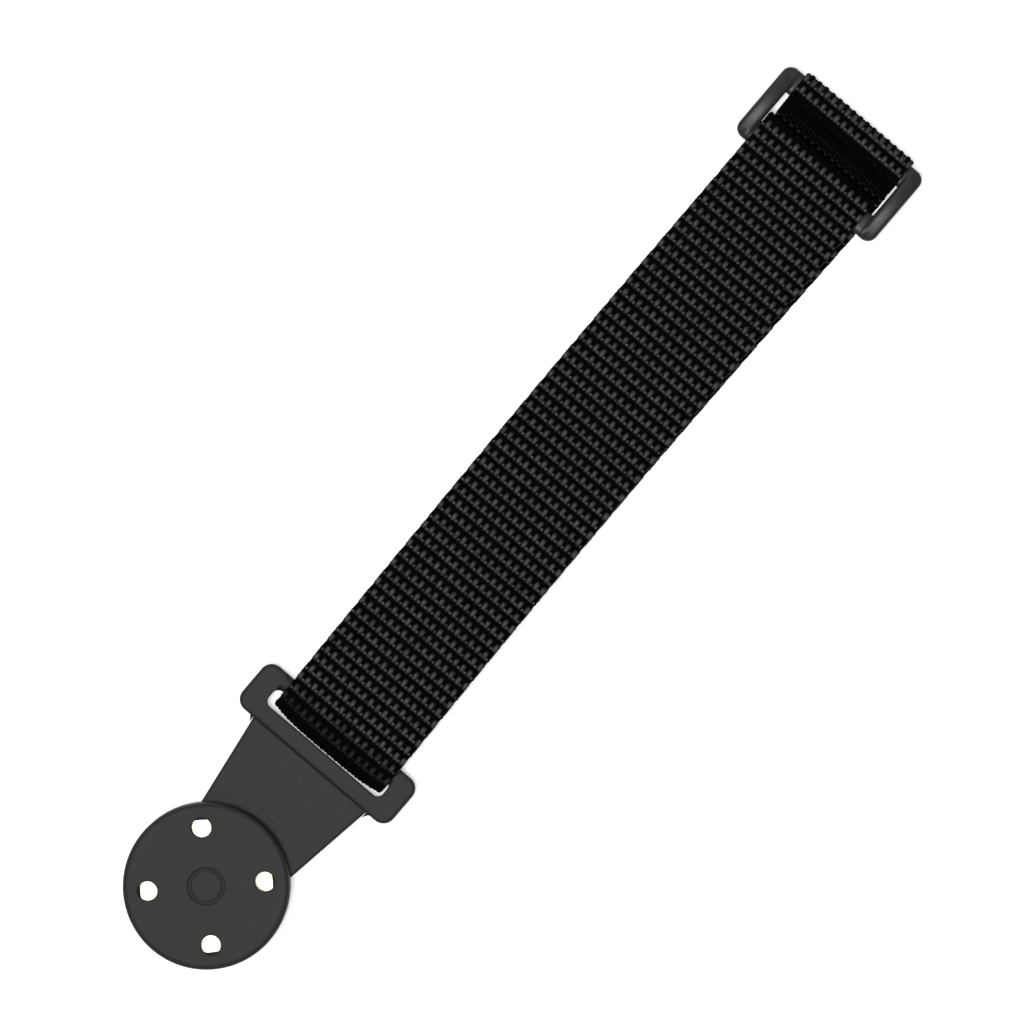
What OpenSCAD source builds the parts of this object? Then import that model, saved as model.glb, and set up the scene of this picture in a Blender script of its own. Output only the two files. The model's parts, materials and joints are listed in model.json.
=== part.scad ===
// Magnetic hanging strap for a handheld test meter.
// A moulded hanger with a pot magnet is held by the fold of a doubled webbing strap.
// The far end of the webbing carries a rectangular ring.
// Origin: centre of the magnet's contact face. +X runs along the strap, +Z out of the windowed face.

/* [Magnet housing] */
// Diameter of the round housing
disc_d = 36; // [34:0.5:40]
// Height of the round housing
disc_h = 9; // [8.5:0.1:10]
// Diameter of each round window
window_d = 4.3; // [3:0.1:5]
// Radius of the circle that the four windows lie on
window_reach = 12.7; // [11.5:0.1:13]

/* [Pot magnet] */
// Outer diameter of the steel pot
cup_d = 28.6; // [26:0.1:29]
// Height of the steel pot
cup_h = 6; // [5:0.1:6.5]
// Diameter of the magnet
magnet_d = 20; // [16:0.5:21]

/* [Neck and slotted frame] */
// Width of the neck beside the housing
neck_w_near = 25.8; // [20:0.1:28]
// Width of the neck where it meets the frame
neck_w_far = 32.4; // [28:0.1:34]
// Distance from the housing's centre to the frame
frame_start = 34.2; // [32:0.1:38]
// Length of the frame along the strap
frame_l = 11.9; // [11:0.1:14]
// Width of the frame
frame_w = 42.7; // [40:0.1:46]
// Thickness of the frame
frame_t = 3.4; // [3:0.1:3.6]
// Length of the slot along the strap
slot_l = 4.3; // [4:0.1:5]
// Width of the slot
slot_w = 32.3; // [32:0.1:34]

/* [Webbing] */
// Width of the webbing
web_w = 30.2; // [28:0.1:30.6]
// Thickness of the webbing
web_t = 1.4; // [1.2:0.1:1.5]

/* [Strap ring] */
// Distance from the housing's centre to the ring
ring_start = 197.9; // [190:0.1:230]
// Length of the ring along the strap
ring_l = 18.9; // [18:0.1:20]
// Width of the ring
ring_w = 38.7; // [38.5:0.1:42]
// Width of each side rail
rail_w = 3.75; // [3:0.05:4]
// Height of each side rail
rail_h = 4.6; // [4:0.1:5]
// Width of each bar, measured along the strap
ring_bar_l = 5.4; // [4.5:0.1:5.5]
// Thickness of each bar
ring_bar_t = 2.2; // [2:0.1:2.4]

/* [Closure] */
// Length of the hook and loop tapes
tape_l = 28; // [20:1:28]
// Width of the hook and loop tapes
tape_w = 26; // [20:1:27]
// Thickness of each tape
tape_t = 0.9; // [0.7:0.05:0.9]

/* [Hidden] */
$fn = 96;
eps = 0.01;

// Housing and pot
cover_t = 1;
cover_d = 31;
fit_gap = 0.05;
housing_edge = 1.1;
foot_edge = 0.4;
cup_wall = 2;
spacer_w = 2.2;
mark_r = 4;
mark_depth = 0.35;

// Neck and frame
frame_r = 2.8;
frame_edge = 0.8;
slot_r = 1.5;
slot_start = 38.1;
bar_start = slot_start + slot_l;
bar_l = frame_start + frame_l - bar_start;
bar_x = bar_start + bar_l / 2;
bar_z = 3.55;
bar_edge = 1.4;
neck_t = 2.5;
neck_z = 2.05;
neck_start_x = 8;
neck_r = 1.2;
neck_edge = 0.6;
fillet_r = 2.2;

// Heights of the webbing's centreline
back_z = 0.1 + web_t / 2;
fold_r = bar_z - back_z;
fold_x = bar_x - 1.7;
fold_top_z = bar_z + fold_r;
tail_z = 2.8;
closed_z = tail_z + web_t + 2 * tape_t;

// Places along the strap where it bends, and the space that each bend needs
bend_x = [75, 110, 145];
bend_gap = 1.4;
flat_end_x = 115;
closed_x = 160;
tail_end_x = 158;
rise_x = 189;

// Ring
ring_end = ring_start + ring_l;
near_bar_x = ring_start + ring_bar_l / 2;
outer_bar_x = ring_end - ring_bar_l / 2;
wrap_r = web_t / 2 + 1.55;
ring_z = tail_z + wrap_r;
wrap_x = near_bar_x + 2.9;
wrap_top_z = ring_z + wrap_r;
rail_r = 2.3;
rail_edge = 0.9;
rail_bow = 1.2;
rail_flat = 0.1;

// Sewn eye
eye_gap = 0.05;
eye_r = ring_bar_t / 2 + eye_gap + web_t / 2;
bar_tip = ring_bar_l / 2 - ring_bar_t / 2;
eye_start = near_bar_x + 0.5;
eye_flat_end = near_bar_x + 5.4;
eye_rise_end = outer_bar_x - bar_tip;
eye_lap = 1.3 * web_t;
lap_start = 207.3;
lap_end = 209.6;
lap_turn = 180;

// Threads
thread_r = 0.2;
stitch_l = 1.9;
stitch_pitch = 3;
seam_inset = 1.2;
tape_x = closed_x + tape_l / 2;

// Height at x of a smooth rise from z0 at x0 to z1 at x1
function eased(x, x0, x1, z0, z1) = z0 + (z1 - z0) * (1 - cos(180 * (x - x0) / (x1 - x0))) / 2;

// Height of the front layer's centreline at x
function front_z(x) =
    x < flat_end_x ? fold_top_z
    : x < closed_x ? eased(x, flat_end_x, closed_x, fold_top_z, closed_z)
    : x < rise_x ? closed_z
    : x < near_bar_x ? eased(x, rise_x, near_bar_x, closed_z, wrap_top_z)
    : wrap_top_z;

// Height of the back layer's centreline at x, where it rises to pass under the outer bar
function eye_z(x) =
    x < eye_flat_end ? back_z
    : x < eye_rise_end ? eased(x, eye_flat_end, eye_rise_end, back_z, ring_z - eye_r)
    : ring_z - eye_r;

// Points of the front layer's centreline from x0 to x1
function front_path(x0, x1) = [for (i = [0:12]) let (x = x0 + (x1 - x0) * i / 12) [x, front_z(x)]];

// Points on an arc about c
function arc(c, r, a0, a1, n) = [for (i = [0:n]) let (a = a0 + (a1 - a0) * i / n) c + r * [cos(a), sin(a)]];

// Unit normal of a path at point i
function path_normal(p, i) =
    let (d = p[min(i + 1, len(p) - 1)] - p[max(i - 1, 0)])
    [-d[1], d[0]] / norm(d);

// Closed outline of a strip of thickness t along a path
function strip(p, t) = concat(
    [for (i = [0:len(p) - 1]) p[i] + path_normal(p, i) * t / 2],
    [for (i = [len(p) - 1:-1:0]) p[i] - path_normal(p, i) * t / 2]
);

// Extrudes an outline drawn in X and Z to a width centred on Y
module across(w) rotate([90, 0, 0]) linear_extrude(w, center = true) children();

module webbing(path) across(web_w) polygon(strip(path, web_t));

// Round puck with rounded rims, from z = 0 to h
module puck(r, h, e) {
    rotate_extrude() {
        square([r - e, h]);
        translate([0, e]) square([r, h - 2 * e]);
        for (z = [e, h - e]) translate([r - e, z]) intersection() {
            circle(e, $fn = 32);
            translate([-r + e, -e]) square([r, 2 * e]);
        }
    }
}

// Rectangle with round corners, centred
module rounded_rect(l, w, r) {
    square([l - 2 * r, w], center = true);
    square([l, w - 2 * r], center = true);
    for (x = [-1, 1], y = [-1, 1]) translate([x * (l / 2 - r), y * (w / 2 - r)]) circle(r);
}

module housing_outside() {
    rotate_extrude($fn = 180) {
        translate([0, foot_edge]) square([disc_d / 2, disc_h - foot_edge - housing_edge]);
        square([disc_d / 2 - foot_edge, disc_h - housing_edge]);
        translate([disc_d / 2 - foot_edge, foot_edge]) circle(foot_edge, $fn = 32);
        square([disc_d / 2 - housing_edge, disc_h]);
        translate([disc_d / 2 - housing_edge, disc_h - housing_edge]) circle(housing_edge, $fn = 48);
    }
}

module pocket() {
    translate([0, 0, -eps]) cylinder(h = cover_t + cup_h + eps, r = cup_d / 2 + fit_gap);
    translate([0, 0, -eps]) cylinder(h = cover_t + eps, r = cover_d / 2 + fit_gap);
}

module windows() {
    for (a = [45:90:315]) rotate(a) translate([window_reach, 0, cover_t + cup_h - eps]) {
        cylinder(h = disc_h, d = window_d, $fn = 48);
    }
}

// Moulded mark in the middle of the windowed face: a shallow ring round a low dome
module centre_mark() {
    translate([0, 0, disc_h - mark_depth]) difference() {
        cylinder(h = disc_h, r = mark_r);
        translate([0, 0, -eps]) cylinder(h = mark_depth - 0.1, r = mark_r - 0.7);
    }
}

module neck() {
    slope = (neck_w_far - neck_w_near) / (2 * (frame_start - 14));
    far_y = neck_w_far / 2 - neck_r;
    near_y = far_y - slope * (frame_start - neck_start_x);
    translate([0, 0, neck_z]) hull() {
        for (s = [-1, 1]) {
            translate([neck_start_x, s * near_y, 0]) puck(neck_r, neck_t, neck_edge, $fn = 32);
            translate([frame_start + 2, s * far_y, 0]) puck(neck_r, neck_t, neck_edge, $fn = 32);
        }
    }
}

// Small round webs in the corners between the neck and the frame
module neck_fillets() {
    y = neck_w_far / 2 - 0.2;
    for (s = [-1, 1]) scale([1, s, 1]) translate([frame_start + 0.4, y, neck_z + 0.3]) {
        linear_extrude(neck_t - 0.6) difference() {
            translate([-fillet_r, 0]) square(fillet_r);
            translate([-fillet_r, fillet_r]) circle(fillet_r, $fn = 48);
        }
    }
}

module frame_plate() {
    x0 = frame_start + frame_r;
    x1 = frame_start + frame_l - frame_r;
    y = frame_w / 2 - frame_r;
    translate([0, 0, bar_z - frame_t / 2]) hull() {
        for (x = [x0, x1], s = [-1, 1]) {
            translate([x, s * y, 0]) puck(frame_r, frame_t, frame_edge, $fn = 48);
        }
    }
}

module slot() {
    translate([slot_start + slot_l / 2, 0, -1]) linear_extrude(disc_h) {
        rounded_rect(slot_l, slot_w, slot_r);
    }
}

// Rounds the four long edges of the bar that the webbing turns on
module bar_rounding() {
    for (x = [-1, 1], z = [-1, 1]) {
        translate([bar_x, 0, bar_z]) scale([x, 1, z]) across(slot_w - 0.4) {
            translate([bar_l / 2 - bar_edge, frame_t / 2 - bar_edge]) difference() {
                square(bar_edge + 0.2);
                circle(bar_edge, $fn = 48);
            }
        }
    }
}

module hanger_body() {
    color("#2a2b2e") difference() {
        union() {
            housing_outside();
            neck();
            neck_fillets();
            frame_plate();
        }
        pocket();
        windows();
        centre_mark();
        slot();
        bar_rounding();
    }
}

module magnet_cup() {
    inner_r = cup_d / 2 - cup_wall;
    color("#d6cfbd") translate([0, 0, cover_t]) difference() {
        cylinder(h = cup_h, d = cup_d);
        translate([0, 0, -eps]) cylinder(h = cup_h - cup_wall + eps, r = inner_r);
    }
}

module disc_magnet() {
    color("#55565a") translate([0, 0, cover_t]) cylinder(h = cup_h - cup_wall, d = magnet_d);
}

module spacer_ring() {
    color("#c8b98a") translate([0, 0, cover_t]) difference() {
        cylinder(h = cup_h - cup_wall, r = magnet_d / 2 + spacer_w);
        translate([0, 0, -eps]) cylinder(h = cup_h, r = magnet_d / 2 + fit_gap);
    }
}

module back_cover() {
    color("#303135") cylinder(h = cover_t, d = cover_d);
}

// The stretch that folds round the hanger's bar, up to the first bend
module webbing_fold() {
    end_x = bend_x[0] - bend_gap;
    back = [[end_x, back_z], [fold_x + 0.5, back_z]];
    turn = arc([fold_x, bar_z], fold_r, 270, 90, 18);
    front = front_path(fold_x + 1, end_x);
    color("#18181a") webbing(concat(back, turn, front));
}

// One section of one layer, between bends i and i + 1
module front_section(i) webbing(front_path(bend_x[i] + bend_gap, bend_x[i + 1] - bend_gap));
module back_section(x0, x1) webbing([[x0, back_z], [x1, back_z]]);

module webbing_front_lower() {
    color("#1b1b1d") front_section(0);
}

module webbing_back_lower() {
    color("#1b1b1d") back_section(bend_x[0] + bend_gap, bend_x[1] - bend_gap);
}

module webbing_front_middle() {
    color("#18181a") front_section(1);
}

module webbing_back_middle() {
    color("#18181a") back_section(bend_x[1] + bend_gap, bend_x[2] - bend_gap);
}

// The front layer's last stretch: over the near bar, round it and back as the hidden tail
module webbing_front_upper() {
    front = front_path(bend_x[2] + bend_gap, closed_x);
    top = [for (i = [0:12]) let (x = rise_x + (near_bar_x - rise_x) * i / 12) [x, front_z(x)]];
    turn = arc([wrap_x, ring_z], wrap_r, 90, -90, 18);
    tail = [[tail_end_x, tail_z]];
    color("#1b1b1d") webbing(concat(front, top, turn, tail));
}

module webbing_back_upper() {
    color("#1b1b1d") back_section(bend_x[2] + bend_gap, near_bar_x - 0.5);
}

// The webbing's fixed end: under and round the ring's outer bar, then lapped on itself in the ring
module webbing_eye() {
    tip_x = outer_bar_x + bar_tip;
    inner_x = outer_bar_x - bar_tip;
    rise = [for (i = [0:12]) let (x = eye_flat_end + (eye_rise_end - eye_flat_end) * i / 12) [x, eye_z(x)]];
    outer_turn = arc([tip_x, ring_z], eye_r, -90, 90, 16);
    inner_turn = arc([inner_x, ring_z], eye_r, 90, lap_turn, 6);
    lap = [for (x = [lap_end, lap_start]) [x, eye_z(x) + eye_lap]];
    color("#18181a") webbing(concat([[eye_start, back_z]], rise, outer_turn, inner_turn, lap));
}

// The rail on the +Y side, with round outer corners, square inner corners and an arched top
module ring_rail() {
    bow_r = (pow(ring_l / 2, 2) + pow(rail_bow, 2)) / (2 * rail_bow);
    rail_y = (ring_w - rail_w) / 2;
    intersection() {
        linear_extrude(2 * rail_h, center = true) rounded_rect(ring_l, ring_w, rail_r);
        across(2 * ring_w) intersection() {
            rounded_rect(ring_l, rail_h, rail_edge);
            translate([0, rail_h / 2 + rail_flat - bow_r]) circle(bow_r, $fn = 360);
        }
        translate([0, rail_y, 0]) rotate([90, 0, 90]) {
            linear_extrude(2 * ring_l, center = true) rounded_rect(rail_w, rail_h, rail_edge);
        }
    }
}

module ring_bar() {
    across(ring_w - rail_w) rounded_rect(ring_bar_l, ring_bar_t, ring_bar_t / 2 - eps);
}

module strap_ring() {
    color("#3c3d40") translate([0, 0, ring_z]) {
        for (s = [-1, 1]) translate([ring_start + ring_l / 2, 0, 0]) scale([1, s, 1]) ring_rail();
        for (x = [near_bar_x, outer_bar_x]) translate([x, 0, 0]) ring_bar();
    }
}

module tape(z) translate([closed_x, -tape_w / 2, z]) cube([tape_l, tape_w, tape_t]);

module loop_tape() {
    color("#202124") tape(closed_z - web_t / 2 - tape_t);
}

module hook_tape() {
    color("#26272a") tape(tail_z + web_t / 2);
}

// One surface stitch, lying along X
module stitch(l) rotate([0, 90, 0]) cylinder(h = l, r = thread_r, center = true, $fn = 16);

// A rectangle of stitches round the edge of a tape, at height z
module tape_seam(z) {
    rows = floor((tape_l - 2 * seam_inset) / stitch_pitch);
    columns = floor((tape_w - 2 * seam_inset) / stitch_pitch) - 1;
    translate([tape_x, 0, z]) {
        for (s = [-1, 1], i = [0:rows]) {
            translate([(i - rows / 2) * stitch_pitch, s * (tape_w / 2 - seam_inset), 0]) stitch(stitch_l);
        }
        for (s = [-1, 1], i = [0:columns]) {
            translate([s * (tape_l / 2 - seam_inset), (i - columns / 2) * stitch_pitch, 0]) {
                rotate(90) stitch(stitch_l);
            }
        }
    }
}

module loop_tape_stitching() {
    color("#101012") tape_seam(closed_z + web_t / 2 + thread_r);
}

module hook_tape_stitching() {
    color("#101012") tape_seam(tail_z - web_t / 2 - thread_r);
}

// A dense row of short stitches across the lapped end of the sewn eye
module eye_bartack() {
    x = (lap_start + lap_end) / 2;
    slope = atan2(eye_z(lap_end) - eye_z(lap_start), lap_end - lap_start);
    lift = web_t / 2 + thread_r + fit_gap;
    count = 13;
    color("#101012") for (i = [0:count - 1]) {
        translate([x, (i - (count - 1) / 2) * 2.1, eye_z(x) + eye_lap]) rotate([0, -slope, 0]) {
            translate([0, 0, lift]) stitch(1.6);
        }
    }
}

hanger_body();
magnet_cup();
disc_magnet();
spacer_ring();
back_cover();
webbing_fold();
webbing_front_lower();
webbing_back_lower();
webbing_front_middle();
webbing_back_middle();
webbing_front_upper();
webbing_back_upper();
webbing_eye();
strap_ring();
loop_tape();
hook_tape();
loop_tape_stitching();
hook_tape_stitching();
eye_bartack();
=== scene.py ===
"""Magnetic hanging strap for a handheld test meter: the looks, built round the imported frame."""

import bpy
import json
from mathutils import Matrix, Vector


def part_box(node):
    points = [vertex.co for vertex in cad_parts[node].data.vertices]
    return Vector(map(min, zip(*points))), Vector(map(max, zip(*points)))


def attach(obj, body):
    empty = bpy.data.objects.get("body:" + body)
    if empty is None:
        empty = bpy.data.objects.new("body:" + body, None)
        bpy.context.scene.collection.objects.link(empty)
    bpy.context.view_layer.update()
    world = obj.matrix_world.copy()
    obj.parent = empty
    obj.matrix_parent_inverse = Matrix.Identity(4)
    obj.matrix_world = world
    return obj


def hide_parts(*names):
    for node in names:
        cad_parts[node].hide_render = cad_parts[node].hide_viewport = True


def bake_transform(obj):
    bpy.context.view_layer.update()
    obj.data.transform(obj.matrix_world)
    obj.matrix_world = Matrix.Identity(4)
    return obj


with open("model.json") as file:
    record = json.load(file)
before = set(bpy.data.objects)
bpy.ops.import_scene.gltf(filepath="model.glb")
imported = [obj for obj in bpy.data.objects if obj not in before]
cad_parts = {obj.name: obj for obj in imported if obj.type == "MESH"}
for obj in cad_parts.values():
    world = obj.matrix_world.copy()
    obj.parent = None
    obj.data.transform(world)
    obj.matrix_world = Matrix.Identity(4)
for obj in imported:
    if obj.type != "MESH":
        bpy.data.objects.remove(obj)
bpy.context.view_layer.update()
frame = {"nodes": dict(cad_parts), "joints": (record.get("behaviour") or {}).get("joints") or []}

import json
import math

import bpy
import numpy as np
from mathutils import Vector

MM = 0.001
SEED = 11

# ---------------------------------------------------------------- sizes read from the frame

joints = {j["name"]: j for j in frame["joints"]}
bar_x = joints["strap_swing"]["pos_m"][0]
bend_x = [joints[n]["pos_m"][0] for n in ("strap_bend_lower", "strap_bend_middle", "strap_bend_upper")]
near_bar_x = joints["ring_tilt"]["pos_m"][0]

back_low, back_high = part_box("webbing_back_lower")
web_t = back_high.z - back_low.z
web_w = back_high.y - back_low.y
back_z = (back_low.z + back_high.z) / 2

fold_low, fold_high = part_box("webbing_fold")
fold_r = (fold_high.z - fold_low.z - web_t) / 2
fold_x = fold_low.x + fold_r + web_t / 2
fold_z = (fold_low.z + fold_high.z) / 2
front_z = fold_z + fold_r

upper_low, upper_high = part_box("webbing_front_upper")
tail_z = upper_low.z + web_t / 2
wrap_top_z = upper_high.z - web_t / 2
wrap_r = (wrap_top_z - tail_z) / 2
wrap_x = upper_high.x - wrap_r - web_t / 2
ring_z = (tail_z + wrap_top_z) / 2

ring_low, ring_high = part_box("strap_ring")
outer_bar_x = ring_low.x + ring_high.x - near_bar_x
eye_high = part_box("webbing_eye")[1]
eye_r = eye_high.z - web_t / 2 - ring_z
eye_tip_x = eye_high.x - eye_r - web_t / 2
eye_inner_x = 2 * outer_bar_x - eye_tip_x

loop_low, loop_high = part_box("loop_tape")
hook_low, hook_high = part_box("hook_tape")
closed_x = loop_low.x
closed_z = loop_high.z + web_t / 2
rise_x = loop_high.x + 1 * MM
tail_end_x = closed_x - 2 * MM
flat_end_x = bend_x[1] + 5 * MM

# The sewn eye's rise and lap
eye_flat_x = near_bar_x + 5.4 * MM
lap_start_x = near_bar_x + 6.7 * MM
lap_end_x = lap_start_x + 2.3 * MM
lap_lift = 1.3 * web_t
lap_turn = math.pi


# ---------------------------------------------------------------- the webbing's route

def eased(x, x0, x1, z0, z1):
    return z0 + (z1 - z0) * (1 - math.cos(math.pi * (x - x0) / (x1 - x0))) / 2


def arc(cx, cz, r, a0, a1, n):
    return [(cx + r * math.cos(a0 + (a1 - a0) * i / n), cz + r * math.sin(a0 + (a1 - a0) * i / n))
            for i in range(n + 1)]


def run(x0, x1, height, n=24):
    return [(x0 + (x1 - x0) * i / n, height(x0 + (x1 - x0) * i / n)) for i in range(n + 1)]


def eye_height(x):
    if x <= eye_flat_x:
        return back_z
    if x >= eye_inner_x:
        return ring_z - eye_r
    return eased(x, eye_flat_x, eye_inner_x, back_z, ring_z - eye_r)


def front_height(x):
    if x <= flat_end_x:
        return front_z
    if x <= closed_x:
        return eased(x, flat_end_x, closed_x, front_z, closed_z)
    if x <= rise_x:
        return closed_z
    if x <= near_bar_x:
        return eased(x, rise_x, near_bar_x, closed_z, wrap_top_z)
    return wrap_top_z


def webbing_route():
    """The centreline in X and Z, from the sewn end round the ring, along the back, round the hanger's bar,
    along the front and round the near bar to the free end."""
    half = math.pi / 2
    points = run(lap_start_x, lap_end_x, lambda x: eye_height(x) + lap_lift, 6)
    points += arc(eye_inner_x, ring_z, eye_r, lap_turn, half, 10)
    points += arc(eye_tip_x, ring_z, eye_r, half, -half, 20)
    points += run(eye_inner_x, eye_flat_x, eye_height)
    points += run(eye_flat_x - 1 * MM, fold_x + 0.5 * MM, lambda x: back_z, 40)
    points += arc(fold_x, fold_z, fold_r, 3 * half, half, 24)
    points += run(fold_x + 0.5 * MM, flat_end_x, front_height, 40)
    points += run(flat_end_x + 1 * MM, closed_x, front_height)
    points += run(rise_x, near_bar_x, front_height)
    points += arc(wrap_x, ring_z, wrap_r, half, -half, 24)
    points += run(wrap_x - 0.5 * MM, tail_end_x, lambda x: tail_z, 20)
    return np.array(points)


class Route:
    """A smooth centreline that places points given as distance along it, side offset and height above it."""

    STEP = 0.1 * MM
    SMOOTH = 9

    def __init__(self, points):
        steps = np.hypot(*np.diff(points, axis=0).T)
        points = points[np.concatenate([[True], steps > 1e-7])]
        along = np.concatenate([[0], np.cumsum(np.hypot(*np.diff(points, axis=0).T))])
        count = int(along[-1] / self.STEP)
        even = np.linspace(0, along[-1], count)
        line = np.stack([np.interp(even, along, points[:, k]) for k in (0, 1)], axis=1)
        padded = np.pad(line, ((self.SMOOTH, self.SMOOTH), (0, 0)), mode="reflect", reflect_type="odd")
        kernel = np.hanning(2 * self.SMOOTH + 3)[1:-1]
        kernel /= kernel.sum()
        self.line = np.stack([np.convolve(padded[:, k], kernel, "valid") for k in (0, 1)], axis=1)
        steps = np.hypot(*np.diff(self.line, axis=0).T)
        self.along = np.concatenate([[0], np.cumsum(steps)])
        self.length = self.along[-1]
        tangent = np.gradient(self.line, axis=0)
        tangent /= np.linalg.norm(tangent, axis=1)[:, None]
        self.normal = np.stack([-tangent[:, 1], tangent[:, 0]], axis=1)
        self.fold_s = self.along[np.argmin(self.line[:, 0])]

    def at(self, s):
        x = np.interp(s, self.along, self.line[:, 0])
        z = np.interp(s, self.along, self.line[:, 1])
        nx = np.interp(s, self.along, self.normal[:, 0])
        nz = np.interp(s, self.along, self.normal[:, 1])
        size = np.hypot(nx, nz)
        return x, z, nx / size, nz / size

    def nearest(self, x, z):
        return self.along[np.argmin(np.hypot(self.line[:, 0] - x, self.line[:, 1] - z))]

    def place(self, s, y, h):
        x, z, nx, nz = self.at(s)
        layer = np.where(s < self.fold_s, -1, 1)
        return np.stack([x + nx * h - fold_bow(x, y), side_shift(x, layer) + y, z + nz * h], axis=-1)


SLOT_SHIFT = -0.58 * MM
SIDE_BOW = 0.75 * MM
RING_SHIFT = 0.6 * MM
EYE_RETURN = 0.45 * MM
FOLD_BOW = 1.05 * MM
FOLD_REACH = 5 * MM


def side_shift(x, layer):
    """The strap sits at one side of the hanger's slot and bows to the other on its way to the ring, where the
    back layer (-1) and the front layer (+1) lie against opposite rails."""
    t = np.clip((x - bar_x) / (near_bar_x - bar_x), 0, 1)
    back = EYE_RETURN * np.clip((x - near_bar_x) / (outer_bar_x - near_bar_x), 0, 1) * (layer < 0)
    return SLOT_SHIFT * (1 - t) + SIDE_BOW * np.sin(np.pi * t) + RING_SHIFT * layer * t ** 2 + back


def fold_bow(x, y):
    """The middle of the fold stands further out from the hanger's bar than its two ends."""
    near_fold = np.exp(-(((x - fold_low.x) / FOLD_REACH) ** 2))
    return FOLD_BOW * near_fold * np.clip(1 - (2 * y / web_w) ** 4, 0, 1)


route = Route(webbing_route())

# ---------------------------------------------------------------- mesh helpers


def tube(centres, e1, e2, a, b, sides):
    """Vertices of rings round centres (n, 3); e1, e2 are the ring's axes and a, b its half sizes."""
    angle = np.arange(sides) * 2 * np.pi / sides
    return (centres[:, None, :] + e1[:, None, :] * (a[:, None] * np.cos(angle))[:, :, None]
            + e2[:, None, :] * (b[:, None] * np.sin(angle))[:, :, None])


def tube_faces(rings, sides, start):
    """Quads between rings, and one face over each end."""
    k = np.arange(rings - 1)[:, None] * sides
    i = np.arange(sides)[None, :]
    j = (i + 1) % sides
    quads = np.stack([k + i, k + j, k + sides + j, k + sides + i], axis=-1).reshape(-1, 4) + start
    first = (np.arange(sides)[::-1] + start).tolist()
    last = (np.arange(sides) + (rings - 1) * sides + start).tolist()
    return quads.tolist() + [first, last]


class Builder:
    """Gathers tubes and other shapes into one mesh, with point attributes for the material."""

    def __init__(self):
        self.parts, self.faces, self.values, self.count = [], [], {}, 0

    def add(self, vertices, faces, **values):
        vertices = np.asarray(vertices, float).reshape(-1, 3)
        self.parts.append(vertices)
        self.faces += faces
        for name, value in values.items():
            self.values.setdefault(name, []).append(np.broadcast_to(value, len(vertices)).astype(np.float32))
        self.count += len(vertices)

    def add_tube(self, rings, **values):
        sides = rings.shape[1]
        flat = {k: np.repeat(v, sides) if np.ndim(v) else v for k, v in values.items()}
        self.add(rings.reshape(-1, 3), tube_faces(len(rings), sides, self.count), **flat)

    def build(self, name, material):
        mesh = bpy.data.meshes.new(name)
        mesh.from_pydata(np.concatenate(self.parts).tolist(), [], self.faces)
        mesh.polygons.foreach_set("use_smooth", np.ones(len(mesh.polygons), bool))
        for key, chunks in self.values.items():
            mesh.attributes.new(key, "FLOAT", "POINT").data.foreach_set("value", np.concatenate(chunks))
        mesh.update()
        piece = bpy.data.objects.new(name, mesh)
        bpy.context.scene.collection.objects.link(piece)
        piece.data.materials.append(material)
        return piece


# ---------------------------------------------------------------- materials


class Nodes:
    """A short way to write a node tree."""

    def __init__(self, name):
        self.material = bpy.data.materials.new(name)
        self.material.use_nodes = True
        self.tree = self.material.node_tree
        self.shader = self.tree.nodes["Principled BSDF"]

    def node(self, kind, **settings):
        made = self.tree.nodes.new(kind)
        for key, value in settings.items():
            if key in made.inputs:
                self.feed(value, made.inputs[key])
            else:
                setattr(made, key, value)
        return made

    def feed(self, value, socket):
        if isinstance(value, bpy.types.NodeSocket):
            self.tree.links.new(value, socket)
        else:
            socket.default_value = value

    def position(self):
        return self.node("ShaderNodeNewGeometry").outputs["Position"]

    def attribute(self, name):
        return self.node("ShaderNodeAttribute", attribute_name=name).outputs["Fac"]

    def noise(self, vector, scale, detail=2.0, roughness=0.5):
        made = self.node("ShaderNodeTexNoise", Scale=scale, Detail=detail, Roughness=roughness)
        self.feed(vector, made.inputs["Vector"])
        return made.outputs["Fac"]

    def math(self, operation, a, b=0.0):
        made = self.node("ShaderNodeMath", operation=operation)
        self.feed(a, made.inputs[0])
        self.feed(b, made.inputs[1])
        return made.outputs[0]

    def between(self, value, low, high, to_low=0.0, to_high=1.0):
        made = self.node("ShaderNodeMapRange")
        for socket, number in zip(made.inputs, (value, low, high, to_low, to_high)):
            self.feed(number, socket)
        return made.outputs["Result"]

    def mix(self, factor, a, b):
        made = self.node("ShaderNodeMix", data_type="RGBA")
        self.feed(factor, made.inputs[0])
        self.feed(a, made.inputs[6])
        self.feed(b, made.inputs[7])
        return made.outputs[2]

    def bump(self, height, distance, strength=1.0, normal=None):
        made = self.node("ShaderNodeBump", Strength=strength, Distance=distance, Height=height)
        if normal is not None:
            self.feed(normal, made.inputs["Normal"])
        return made.outputs["Normal"]

    def set(self, **sockets):
        for key, value in sockets.items():
            self.feed(value, self.shader.inputs[key.replace("_", " ")])
        return self.material


def grey(level, warm=0.0):
    return (level * (1 + warm), level, level * (1 - warm), 1)


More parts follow.
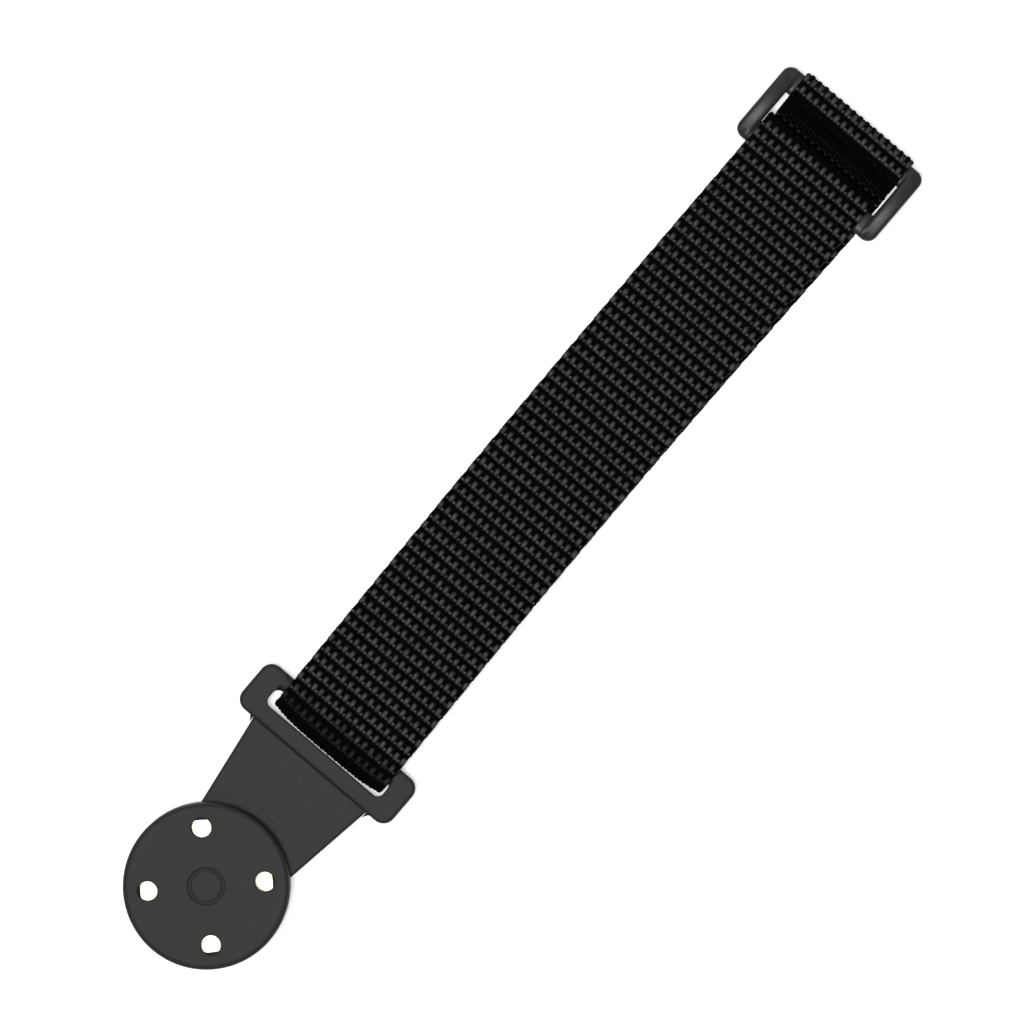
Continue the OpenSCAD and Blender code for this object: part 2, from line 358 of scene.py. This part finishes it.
def webbing_material():
    """Dark multifilament yarn: near black in the gaps of the weave, which is painted shade, and dull grey on
    its crowns, partly wear and partly painted light.
    """
    n = Nodes("woven_webbing")
    where = n.position()
    yarn = n.attribute("yarn")
    cloudy = n.noise(where, 60, 3)
    fibre = n.noise(where, 5200, 2)
    tone = n.math("ADD", n.math("MULTIPLY", yarn, 0.5), n.math("MULTIPLY", cloudy, 0.5))
    speck = n.between(n.noise(where, 1100, 2), 0.3, 0.7)
    # The crowns' lighter colour, where wear and painted light show.
    worn_and_lit = n.mix(n.math("MULTIPLY", tone, speck), grey(0.004), grey(0.03, -0.02))
    streak = n.node("ShaderNodeCombineXYZ", X=n.attribute("along"), Y=n.attribute("around"), Z=yarn)
    strands = n.noise(streak.outputs[0], 7, 2)
    worn_and_lit = n.mix(n.between(strands, 0.4, 0.75, 0.0, 0.5), worn_and_lit, grey(0.045))
    # Painted shade in the valleys and shaded places, lighter wear and painted light on the crowns; the same
    # mark weakens the specular reflection in the shade.
    patchy = n.math("MULTIPLY", n.attribute("crown"), n.between(speck, 0.0, 1.0, 0.7, 1.15))
    wear_light_and_shade = n.between(patchy, 0.08, 0.75)
    colour = n.mix(wear_light_and_shade, grey(0.0012), worn_and_lit)
    normal = n.bump(strands, 0.00012, 0.5)
    normal = n.bump(fibre, 0.00003, 0.4, normal)
    return n.set(Base_Color=colour, Roughness=n.between(wear_light_and_shade, 0.0, 1.0, 0.9, 0.52), Normal=normal,
                 Specular_IOR_Level=n.between(wear_light_and_shade, 0.0, 1.0, 0.03, 0.5))


def moulded_material(name, low, high, grain, rough, shine=0.27):
    """Moulded plastic with a fine grain, faint flow marks and lighter, smoother worn edges."""
    n = Nodes(name)
    where = n.position()
    flow = n.noise(where, 45, 3)
    grit = n.noise(where, grain, 3, 0.6)
    colour = n.mix(flow, grey(low, -0.03), grey(high, -0.03))
    soft = n.node("ShaderNodeBevel", samples=6, Radius=0.0006).outputs["Normal"]
    face = n.node("ShaderNodeNewGeometry").outputs["Normal"]
    turn = n.node("ShaderNodeVectorMath", operation="DOT_PRODUCT")
    n.feed(soft, turn.inputs[0])
    n.feed(face, turn.inputs[1])
    edge = n.between(turn.outputs["Value"], 0.97, 0.80)
    worn = n.math("MULTIPLY", edge, n.between(n.noise(where, 900, 3), 0.35, 0.65))
    colour = n.mix(n.math("MULTIPLY", worn, 0.5), colour, grey(high * 2.2))
    roughness = n.math("SUBTRACT", n.between(grit, 0.3, 0.7, rough - 0.06, rough + 0.06),
                       n.math("MULTIPLY", worn, 0.1))
    normal = n.bump(grit, 0.00003, 0.5, soft)
    return n.set(Base_Color=colour, Roughness=roughness, Normal=normal, Specular_IOR_Level=shine)


def nickel_material():
    n = Nodes("nickel_plate")
    where = n.position()
    stain = n.noise(where, 320, 3)
    scratch = n.noise(where, 2600, 2)
    colour = n.mix(stain, (0.58, 0.55, 0.47, 1), (0.42, 0.39, 0.33, 1))
    return n.set(Base_Color=colour, Metallic=1.0, Roughness=n.between(stain, 0.3, 0.7, 0.38, 0.55),
                 Normal=n.bump(scratch, 0.00001, 0.4))


def cast_material(name, low, high, scale, rough):
    """Sintered magnet or cast resin: mottled, with a fine pitted surface."""
    n = Nodes(name)
    where = n.position()
    mottle = n.noise(where, scale, 4, 0.6)
    return n.set(Base_Color=n.mix(mottle, low, high),
                 Roughness=n.between(mottle, 0.3, 0.7, rough - 0.1, rough),
                 Normal=n.bump(n.noise(where, scale * 6), 0.00003, 0.6))


def thread_material():
    n = Nodes("sewing_thread")
    where = n.position()
    ply = n.noise(where, 3000, 2)
    return n.set(Base_Color=n.mix(ply, grey(0.002), grey(0.005)),
                 Roughness=n.between(ply, 0.3, 0.7, 0.6, 0.8),
                 Normal=n.bump(ply, 0.00005, 0.6), Specular_IOR_Level=0.12)


def pile_material():
    n = Nodes("hook_and_loop_pile")
    where = n.position()
    fuzz = n.noise(where, 1800, 3)
    return n.set(Base_Color=n.mix(fuzz, grey(0.008), grey(0.03)),
                 Roughness=n.between(fuzz, 0.3, 0.7, 0.6, 0.8),
                 Normal=n.bump(fuzz, 0.0001, 0.7), Sheen_Weight=0.3)


def melted_material():
    n = Nodes("melted_edge")
    where = n.position()
    flow = n.noise(where, 700, 3)
    return n.set(Base_Color=n.mix(flow, grey(0.002), grey(0.006)),
                 Roughness=n.between(flow, 0.3, 0.7, 0.5, 0.7),
                 Normal=n.bump(flow, 0.0002, 0.7), Specular_IOR_Level=0.1)


WEBBING = webbing_material()
HANGER = moulded_material("hanger_plastic", 0.009, 0.013, 5200, 0.6)
COVER = moulded_material("cover_plastic", 0.018, 0.024, 5200, 0.52)
RING = moulded_material("ring_plastic", 0.018, 0.026, 4200, 0.34, 0.17)
NICKEL = nickel_material()
MAGNET = cast_material("sintered_magnet", grey(0.07), grey(0.14), 1500, 0.6)
SPACER = cast_material("cast_resin", (0.42, 0.35, 0.20, 1), (0.56, 0.48, 0.30, 1), 500, 0.5)
THREAD = thread_material()
PILE = pile_material()
MELTED = melted_material()

# ---------------------------------------------------------------- webbing

WARPS = 31
PICK_PITCH = 2.66 * MM
RINGS_PER_PICK = 6
YARN_SIDES = 8
WARP_RISE = 0.42 * MM
WARP_HALF_HEIGHT = 0.28 * MM
CROWN_WIDTH = 0.60
VALLEY_WIDTH = 0.52
CROWN_LEAN = 0.08
WEFT_LEAN = 0.2 * MM
# Painted shade and light on the weave: crowns lose their lighter tone near the fold, on steep parts and in
# the sunk sewn end; the weft gets a lighter band on one side.
FOLD_DARK = 4.5 * MM
FOLD_SHADE_LEVEL = 0.35
STEEP = 0.55
LEVEL = 0.97
CROWN_START = 0.42
CROWN_FULL = 0.85
WEFT_WEAR_AND_LIGHT = 0.8
WEFT_RISE = 0.14 * MM
WEFT_HALF_HEIGHT = 0.30 * MM
WEFT_HALF_WIDTH = 0.52 * MM
WEFT_REACH = 0.16 * MM
TURN_HALF = 0.14 * MM
TURN_RINGS = 7
CORE_SIDES = 32
CORE_INSET = 0.35 * MM
CORE_HALF_HEIGHT = 0.2 * MM

# Before this point the sewn end lies sunk beside the outer bar and gets painted shade.
sunk_s = route.along[np.argmax(route.line[:, 0] > outer_bar_x - 2.9 * MM)]
dice = np.random.default_rng(SEED)
picks = int(round(route.length / PICK_PITCH))
pick_s = np.linspace(0, route.length, picks + 1)
pick_s[1:-1] += dice.normal(0, 0.05 * MM, picks - 1)
mid_fold = int(np.searchsorted(pick_s, route.fold_s))
fold_gap = route.fold_s - (pick_s[mid_fold - 1] + pick_s[mid_fold]) / 2
pick_s += fold_gap * np.interp(pick_s, [0, route.fold_s, route.length], [0, 1, 0])
warp_pitch = (web_w - 2 * WEFT_REACH) / WARPS
warp_y = (np.arange(WARPS) - (WARPS - 1) / 2) * warp_pitch
warp_tone = dice.random(WARPS)
crown_mark_strength = dice.uniform(0.8, 1.0, WARPS)
pick_rise = dice.normal(1, 0.05, (WARPS, picks + 2))
pick_drift = dice.normal(0, 0.025 * MM, (WARPS, picks + 2))


def add_yarn(builder, s, side, height, **values):
    """A yarn whose rings are given as distance, side and height arrays of shape (rings, sides)."""
    rings = route.place(np.clip(s, 0, route.length), side, height)
    builder.add(rings.reshape(-1, 3), tube_faces(len(rings), rings.shape[1], builder.count), **values)


def ramp(value, low, high):
    return np.clip((value - low) / (high - low), 0, 1)


def worn_and_lit(s):
    """Where the crowns get their lighter tone of wear and painted light: none on steep parts or the sunk sewn
    end, and little near the fold, which leaves painted shade in those places.
    """
    nz = route.at(s)[3]
    away = FOLD_SHADE_LEVEL + (1 - FOLD_SHADE_LEVEL) * ramp(np.abs(s - route.fold_s), FOLD_DARK, 2 * FOLD_DARK)
    return ramp(np.abs(nz), STEEP, LEVEL) * ramp(s, sunk_s + 0.6 * MM, sunk_s + 1.6 * MM) * away


def add_warps(builder, first, last):
    """Warp yarns from pick first to pick last. They rise over one pick and dive under the next."""
    phase = np.linspace(first, last, (last - first) * RINGS_PER_PICK + 1)
    s = np.interp(phase, np.arange(picks + 1), pick_s)
    angle = np.arange(YARN_SIDES) * 2 * np.pi / YARN_SIDES
    for i in range(WARPS):
        wave = np.cos(np.pi * (phase - CROWN_LEAN + i))
        size = np.interp(phase, np.arange(picks + 2), pick_rise[i])
        drift = np.interp(phase, np.arange(picks + 2), pick_drift[i])
        rise = WARP_RISE * size * np.sign(wave) * np.abs(wave) ** 0.85
        half_width = warp_pitch * (VALLEY_WIDTH + (CROWN_WIDTH - VALLEY_WIDTH) * wave ** 2)
        height = rise[:, None] + WARP_HALF_HEIGHT * np.sin(angle)[None, :]
        side = (warp_y[i] + drift)[:, None] + half_width[:, None] * np.cos(angle)[None, :]
        # Only the outward top of a crown gets the lighter tone of wear and painted light; the rest of the
        # yarn keeps painted shade.
        outward = ramp(np.sign(wave)[:, None] * np.sin(angle), -0.1, 0.6)
        crown = outward * (ramp(np.abs(wave), CROWN_START, CROWN_FULL) * worn_and_lit(s) * crown_mark_strength[i])[:, None]
        add_yarn(builder, np.repeat(s[:, None], YARN_SIDES, 1), side, height,
                 yarn=warp_tone[i], crown=crown.reshape(-1),
                 along=np.repeat(s / MM, YARN_SIDES), around=np.tile(angle, len(s)))


def add_weft(builder, first, last):
    """One rounded weft yarn for each pick, and a thin turn that joins it to the next pick at one edge."""
    angle = np.arange(YARN_SIDES) * 2 * np.pi / YARN_SIDES
    edge = web_w / 2 - WEFT_REACH
    tip = np.array([1.0, 0.75, 0.35])
    across = np.concatenate([-edge - WEFT_REACH * tip, np.linspace(-edge, edge, 2 * WARPS + 1),
                             edge + WEFT_REACH * tip[::-1]])
    full = np.clip(1 - np.abs(np.abs(across) - edge) / WEFT_REACH * (np.abs(across) > edge), 0.04, 1) ** 0.5
    for j in range(first, last):
        index = across / warp_pitch + (WARPS - 1) / 2
        lift = -WEFT_RISE * np.cos(np.pi * (index + j))
        middle = pick_s[j] + (0.6 * MM if j == 0 else 0) - WEFT_LEAN
        s = middle + WEFT_HALF_WIDTH * full[:, None] * np.cos(angle)
        height = (lift[:, None] + WEFT_HALF_HEIGHT * np.sin(angle)) * full[:, None]
        side = np.repeat(across[:, None], YARN_SIDES, 1)
        # Painted light with wear: a lighter band along one side of the weft's outward face.
        shown = ramp(np.sign(lift)[:, None] * np.sin(angle), 0.1, 0.6) * ramp(-np.cos(angle), -0.5, 0.0)
        crown = WEFT_WEAR_AND_LIGHT * shown * worn_and_lit(middle)
        add_yarn(builder, s, side, height, yarn=0.5, crown=crown.reshape(-1),
                 along=side.reshape(-1) / MM, around=np.tile(angle, len(across)))
        if j + 1 < last:
            add_turn(builder, j, 1 if j % 2 == 0 else -1, angle)


def add_turn(builder, j, way, angle):
    """The weft's turn from pick j to the next one, along the edge on the side that way gives."""
    half_turn = np.linspace(0, np.pi, TURN_RINGS)
    middle = (pick_s[j] + pick_s[j + 1]) / 2
    s = middle - (pick_s[j + 1] - pick_s[j]) / 2 * np.cos(half_turn)
    y = way * (web_w / 2 - 2.1 * TURN_HALF + TURN_HALF * np.sin(half_turn))
    side = y[:, None] + TURN_HALF * np.cos(angle)[None, :]
    height = np.repeat(TURN_HALF * np.sin(angle)[None, :], TURN_RINGS, 0)
    add_yarn(builder, np.repeat(s[:, None], YARN_SIDES, 1), side, height, yarn=0.7, crown=0.4,
             along=np.repeat(s / MM, YARN_SIDES), around=np.tile(angle, TURN_RINGS))


def add_core(builder, first, last):
    """The flat stuffer yarns that lie straight inside the weave and close the gaps between its warps."""
    phase = np.linspace(first, last, 2 * (last - first) + 1)
    s = np.repeat(np.interp(phase, np.arange(picks + 1), pick_s)[:, None], CORE_SIDES, 1)
    angle = np.arange(CORE_SIDES) * 2 * np.pi / CORE_SIDES
    side = np.tile((web_w / 2 - CORE_INSET) * np.cos(angle), (len(s), 1))
    height = np.tile(CORE_HALF_HEIGHT * np.sin(angle), (len(s), 1))
    add_yarn(builder, s, side, height, yarn=0.5, crown=0.0,
             along=s.reshape(-1) / MM, around=side.reshape(-1) / MM)


def pick_at(x, z):
    return int(np.argmin(np.abs(pick_s - route.nearest(x, z))))


def webbing_piece(name, spans):
    builder = Builder()
    for first, last in spans:
        add_warps(builder, first, last)
        add_weft(builder, first, last)
        add_core(builder, first, last)
    return builder.build(name, WEBBING)


split_x = [(bend_x[0] + bend_x[1]) / 2, (bend_x[1] + bend_x[2]) / 2]
back_split = [pick_at(x, back_z) for x in split_x]
front_split = [pick_at(x, front_height(x)) for x in split_x]
eye_split = pick_at(near_bar_x - 14 * MM, back_z)
tail_split = pick_at(wrap_x + wrap_r, ring_z)
BEND_HALF = 14 * MM


def bend(piece, parent, child, x, z=None, half=BEND_HALF):
    z = fold_z if z is None else z
    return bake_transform(piece)


lower = webbing_piece("webbing_lower_loop", [(back_split[0], front_split[0])])
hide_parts("webbing_fold")
bend(lower, "strap_fold", "strap_lower", bend_x[0])

middle = webbing_piece("webbing_middle", [(back_split[1], back_split[0]), (front_split[0], front_split[1])])
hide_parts("webbing_front_lower", "webbing_back_lower")
bend(middle, "strap_lower", "strap_middle", bend_x[1])

upper = webbing_piece("webbing_upper_front", [(front_split[1], tail_split)])
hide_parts("webbing_front_middle")
bend(upper, "strap_middle", "strap_upper", bend_x[2])

upper_back = webbing_piece("webbing_upper_back", [(eye_split, back_split[1])])
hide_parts("webbing_back_middle", "webbing_back_upper")
bend(upper_back, "strap_middle", "strap_upper", bend_x[2])

tail = webbing_piece("webbing_tail", [(tail_split, picks)])
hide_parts("webbing_front_upper")
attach(tail, "strap_upper")

eye = webbing_piece("webbing_sewn_eye", [(0, eye_split)])
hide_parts("webbing_eye")
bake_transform(eye)

# ---------------------------------------------------------------- cut ends, seams and tapes

END_HALF = 0.22 * MM
END_RINGS = 60


def melted_end(name, s, body):
    """The heat-sealed cut end of the webbing: a thin lumpy bead across its width."""
    builder = Builder()
    lumps = dice.normal(1, 0.12, END_RINGS)
    angle = np.arange(YARN_SIDES) * 2 * np.pi / YARN_SIDES
    y = np.linspace(-1, 1, END_RINGS) * (web_w / 2 - 0.2 * MM)
    along = s + END_HALF * lumps[:, None] * np.cos(angle)
    height = 0.36 * web_t * lumps[::-1, None] * np.sin(angle)
    add_yarn(builder, along, np.repeat(y[:, None], YARN_SIDES, 1), height)
    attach(builder.build(name, MELTED), body)


melted_end("melted_lap_end", END_HALF * 1.3, "ring")
melted_end("melted_tail_end", route.length - END_HALF * 1.3, "strap_upper")

THREAD_R = 0.15 * MM
THREAD_SIDES = 6
STITCH_RINGS = 7
STITCH_HALF = 0.95 * MM
STITCH_PITCH = 3 * MM
STITCH_HEIGHT = 0.44 * MM
SEAM_INSET = 1.2 * MM


def add_stitch(builder, s, y, crosswise, half=STITCH_HALF):
    """One stitch that comes out of the webbing's outer face and dives back into it."""
    t = np.linspace(-1, 1, STITCH_RINGS)
    angle = np.arange(THREAD_SIDES) * 2 * np.pi / THREAD_SIDES
    lift = STITCH_HEIGHT * (1 - t ** 4) + 0.1 * MM
    height = lift[:, None] + THREAD_R * np.sin(angle)
    run_of = half * np.repeat(t[:, None], THREAD_SIDES, 1)
    spread = np.repeat(THREAD_R * np.cos(angle)[None, :], STITCH_RINGS, 0)
    if crosswise:
        add_yarn(builder, s + spread, y + run_of, height)
    else:
        add_yarn(builder, s + run_of, y + spread, height)


def tape_seam(name, node, low, high, z):
    """A rectangle of stitches round the edge of a tape, sunk into the webbing's weave."""
    builder = Builder()
    xs = np.arange(low.x + SEAM_INSET, high.x - SEAM_INSET + 0.1 * MM, STITCH_PITCH)
    ys = np.arange(low.y + 2 * SEAM_INSET, high.y - 2 * SEAM_INSET + 0.1 * MM, STITCH_PITCH)
    for x in xs:
        for y in (low.y + SEAM_INSET, high.y - SEAM_INSET):
            add_stitch(builder, route.nearest(x, z), y, False)
    for y in ys:
        for x in (low.x + SEAM_INSET, high.x - SEAM_INSET):
            add_stitch(builder, route.nearest(x, z), y, True)
    piece = builder.build(name, THREAD)
    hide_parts(node)
    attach(piece, "strap_upper")


tape_seam("loop_tape_thread", "loop_tape_stitching", loop_low, loop_high, closed_z)
tape_seam("hook_tape_thread", "hook_tape_stitching", hook_low, hook_high, tail_z)

BARTACK_STITCHES = 31


def make_bartack():
    builder = Builder()
    for y in np.linspace(-0.43, 0.43, BARTACK_STITCHES) * web_w:
        add_stitch(builder, 1.5 * MM, y, False, 0.8 * MM)
    piece = builder.build("eye_thread", THREAD)
    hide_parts("eye_bartack")
    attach(piece, "ring")


make_bartack()

TAPE_BASE = 0.4 * MM
PILE_REACH = 3 * MM
PILE_COUNT = 1500
PILE_R = 0.05 * MM
PILE_RINGS = 6
PILE_SIDES = 4


def add_slab(builder, low, high, z0, z1):
    """The tape's woven ground, with rounded edges all round."""
    angle = np.arange(16) * 2 * np.pi / 16
    x = np.linspace(low.x, high.x, 30)
    edge = np.clip(np.minimum(x - low.x, high.x - x) / (0.4 * MM), 0.3, 1) ** 0.5
    half_w = (high.y - low.y) / 2 - 0.3 * MM * (1 - edge)
    shift = side_shift(x, 1)
    y = shift[:, None] + half_w[:, None] * np.sign(np.cos(angle)) * np.abs(np.cos(angle)) ** 0.15
    half_t = (z1 - z0) / 2 * edge
    z = (z0 + z1) / 2 + half_t[:, None] * np.sin(angle)
    rings = np.stack([np.repeat(x[:, None], 16, 1), y, z], axis=-1)
    builder.add_tube(rings)


def edge_points(low, high, count):
    """Places scattered along the rim of a tape, where its pile can be seen."""
    x = dice.uniform(low.x, high.x, count)
    y = dice.uniform(low.y, high.y, count)
    inner = ((x - low.x > PILE_REACH) & (high.x - x > PILE_REACH)
             & (y - low.y > PILE_REACH) & (high.y - y > PILE_REACH))
    return x[~inner], y[~inner]


def add_pile(builder, low, high, z_root, z_tip, sweep):
    """Small bent fibres. A sweep of 1 gives closed loops and a smaller one open hooks."""
    t = np.linspace(0, 1, PILE_RINGS)
    angle = np.arange(PILE_SIDES) * 2 * np.pi / PILE_SIDES
    for x, y in zip(*edge_points(low, high, PILE_COUNT)):
        turn = dice.uniform(0, 2 * np.pi)
        size = dice.uniform(0.7, 1.0)
        bend = np.pi * sweep * t
        out = 0.22 * MM * (1 - np.cos(bend))
        rise = (z_tip - z_root) * size * np.sin(np.minimum(bend, np.pi))
        heading = np.array([np.cos(turn), np.sin(turn)])
        centre = np.stack([x + out * heading[0], y + side_shift(x, 1) + out * heading[1], z_root + rise], 1)
        e1 = np.tile([-heading[1], heading[0], 0], (PILE_RINGS, 1))
        e2 = np.tile([heading[0], heading[1], 1], (PILE_RINGS, 1)) * 0.7
        size_r = np.full(PILE_RINGS, PILE_R)
        builder.add_tube(tube(centre, e1, e2, size_r, size_r, PILE_SIDES))


def make_tape(name, node, low, high, root_up, sweep):
    """A tape whose ground is sewn to the webbing on one side and whose pile faces the other tape."""
    builder = Builder()
    ground = (low.z, low.z + TAPE_BASE) if root_up else (high.z - TAPE_BASE, high.z)
    root, tip = (ground[1], high.z) if root_up else (ground[0], low.z)
    add_slab(builder, low, high, *ground)
    add_pile(builder, low, high, root - (tip - root) * 0.15, tip, sweep)
    piece = builder.build(name, PILE)
    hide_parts(node)
    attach(piece, "strap_upper")


make_tape("loop_tape_pile", "loop_tape", loop_low, loop_high, False, 1.0)
make_tape("hook_tape_hooks", "hook_tape", hook_low, hook_high, True, 0.75)

# ---------------------------------------------------------------- strap ring

RAIL_WIDTH = 3.55 * MM
RAIL_CORNER = 2.3 * MM
RAIL_INNER_CORNER = 0.5 * MM
RAIL_EDGE = 0.8 * MM
RAIL_ARCH = 1.5 * MM
RAIL_SQUARENESS = 0.42
RAIL_RINGS = 61
RAIL_SIDES = 40
BAR_LENGTH = 5.4 * MM
BAR_THICK = 2.2 * MM


def corner(distance, radius):
    """How far a round corner draws a side in, at a distance from the end."""
    d = np.minimum(distance, radius)
    return radius - np.sqrt(radius ** 2 - (radius - d) ** 2)


def squarish(angle, squareness):
    cos, sin = np.cos(angle), np.sin(angle)
    return np.sign(cos) * np.abs(cos) ** squareness, np.sign(sin) * np.abs(sin) ** squareness


def add_rail(builder, way):
    """One side rail: round outer corners, an arched top and soft edges."""
    u = -np.cos(np.linspace(0, np.pi, RAIL_RINGS))
    half_l = (ring_high.x - ring_low.x) / 2
    x = (ring_high.x + ring_low.x) / 2 + half_l * u
    end = half_l * (1 - np.abs(u))
    outer = ring_high.y - corner(end, RAIL_CORNER)
    inner = ring_high.y - RAIL_WIDTH + corner(end, RAIL_INNER_CORNER)
    top = ring_high.z - RAIL_ARCH * u ** 2 - corner(end, RAIL_EDGE)
    bottom = ring_low.z + corner(end, RAIL_EDGE)
    across, up = squarish(np.arange(RAIL_SIDES) * 2 * np.pi / RAIL_SIDES, RAIL_SQUARENESS)
    y = ((outer + inner) / 2)[:, None] + ((outer - inner) / 2)[:, None] * across
    z = ((top + bottom) / 2)[:, None] + ((top - bottom) / 2)[:, None] * up
    rings = np.stack([np.repeat(x[:, None], RAIL_SIDES, 1), way * y, z], axis=-1)
    builder.add_tube(rings if way < 0 else rings[:, ::-1])


def add_bar(builder, x):
    """One flat bar with round edges, let into both rails."""
    across, up = squarish(np.arange(RAIL_SIDES) * 2 * np.pi / RAIL_SIDES, 0.6)
    half = ring_high.y - RAIL_WIDTH / 2
    y = np.linspace(-half, half, 24)
    section = np.stack([x + BAR_LENGTH / 2 * across, np.zeros(RAIL_SIDES), ring_z + BAR_THICK / 2 * up], 1)
    rings = np.repeat(section[None, :, :], len(y), 0)
    rings[:, :, 1] = y[:, None]
    builder.add_tube(rings)


def make_ring():
    builder = Builder()
    for way in (-1, 1):
        add_rail(builder, way)
    for x in (near_bar_x, outer_bar_x):
        add_bar(builder, x)
    piece = builder.build("ring_moulding", RING)
    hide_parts("strap_ring")
    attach(piece, "ring")


make_ring()

# ---------------------------------------------------------------- CAD nodes that stay

FINISHES = {"hanger_body": HANGER, "back_cover": COVER, "magnet_cup": NICKEL, "disc_magnet": MAGNET,
            "spacer_ring": SPACER}
for node, material in FINISHES.items():
    mesh = frame["nodes"][node].data
    mesh.materials.clear()
    mesh.materials.append(material)

# ---------------------------------------------------------------- stage, light and camera

VIEW_WIDTH = 0.2212
VIEW_TURN = math.radians(49.6)
LOOK_AT = Vector((0.1041, 0.0021, 0.004))
CAMERA_DISTANCE = 1.5
SENSOR = 36.0
SKY = 0.3
FLOOR_GLOW = 0.4


def floor_material():
    n = Nodes("pale_floor")
    cloud = n.noise(n.position(), 3, 2)
    pale = n.mix(cloud, grey(0.88), grey(0.90))
    return n.set(Base_Color=pale, Roughness=0.9, Specular_IOR_Level=0.1, Emission_Color=(1, 1, 1, 1),
                 Emission_Strength=FLOOR_GLOW)


def make_floor():
    bpy.ops.mesh.primitive_plane_add(size=6, location=(LOOK_AT.x, 0, -0.0002))
    floor = bpy.context.object
    floor.name = "floor"
    floor.data.materials.append(floor_material())


def make_light(name, direction, distance, size, power):
    data = bpy.data.lights.new(name, "AREA")
    data.shape, data.size, data.energy = "DISK", size, power
    lamp = bpy.data.objects.new(name, data)
    lamp.location = LOOK_AT + Vector(direction).normalized() * distance
    lamp.rotation_euler = (LOOK_AT - lamp.location).to_track_quat("-Z", "Y").to_euler()
    bpy.context.scene.collection.objects.link(lamp)


def make_camera():
    data = bpy.data.cameras.new("camera")
    data.sensor_width = SENSOR
    data.lens = SENSOR * CAMERA_DISTANCE / VIEW_WIDTH
    camera = bpy.data.objects.new("camera", data)
    camera.location = LOOK_AT + Vector((0, 0, CAMERA_DISTANCE))
    camera.rotation_euler = (0, 0, -VIEW_TURN)
    bpy.context.scene.collection.objects.link(camera)
    bpy.context.scene.camera = camera


def make_world():
    world = bpy.data.worlds.new("studio")
    world.use_nodes = True
    world.node_tree.nodes["Background"].inputs["Color"].default_value = (1, 1, 1, 1)
    world.node_tree.nodes["Background"].inputs["Strength"].default_value = SKY
    bpy.context.scene.world = world


make_floor()
make_world()
make_light("key", (-0.14, 0.03, 1.0), 1.9, 0.55, 26)
make_light("fill", (0.6, 0.5, 1.0), 1.5, 0.8, 4)
bpy.context.scene.view_settings.view_transform = "Standard"
make_camera()
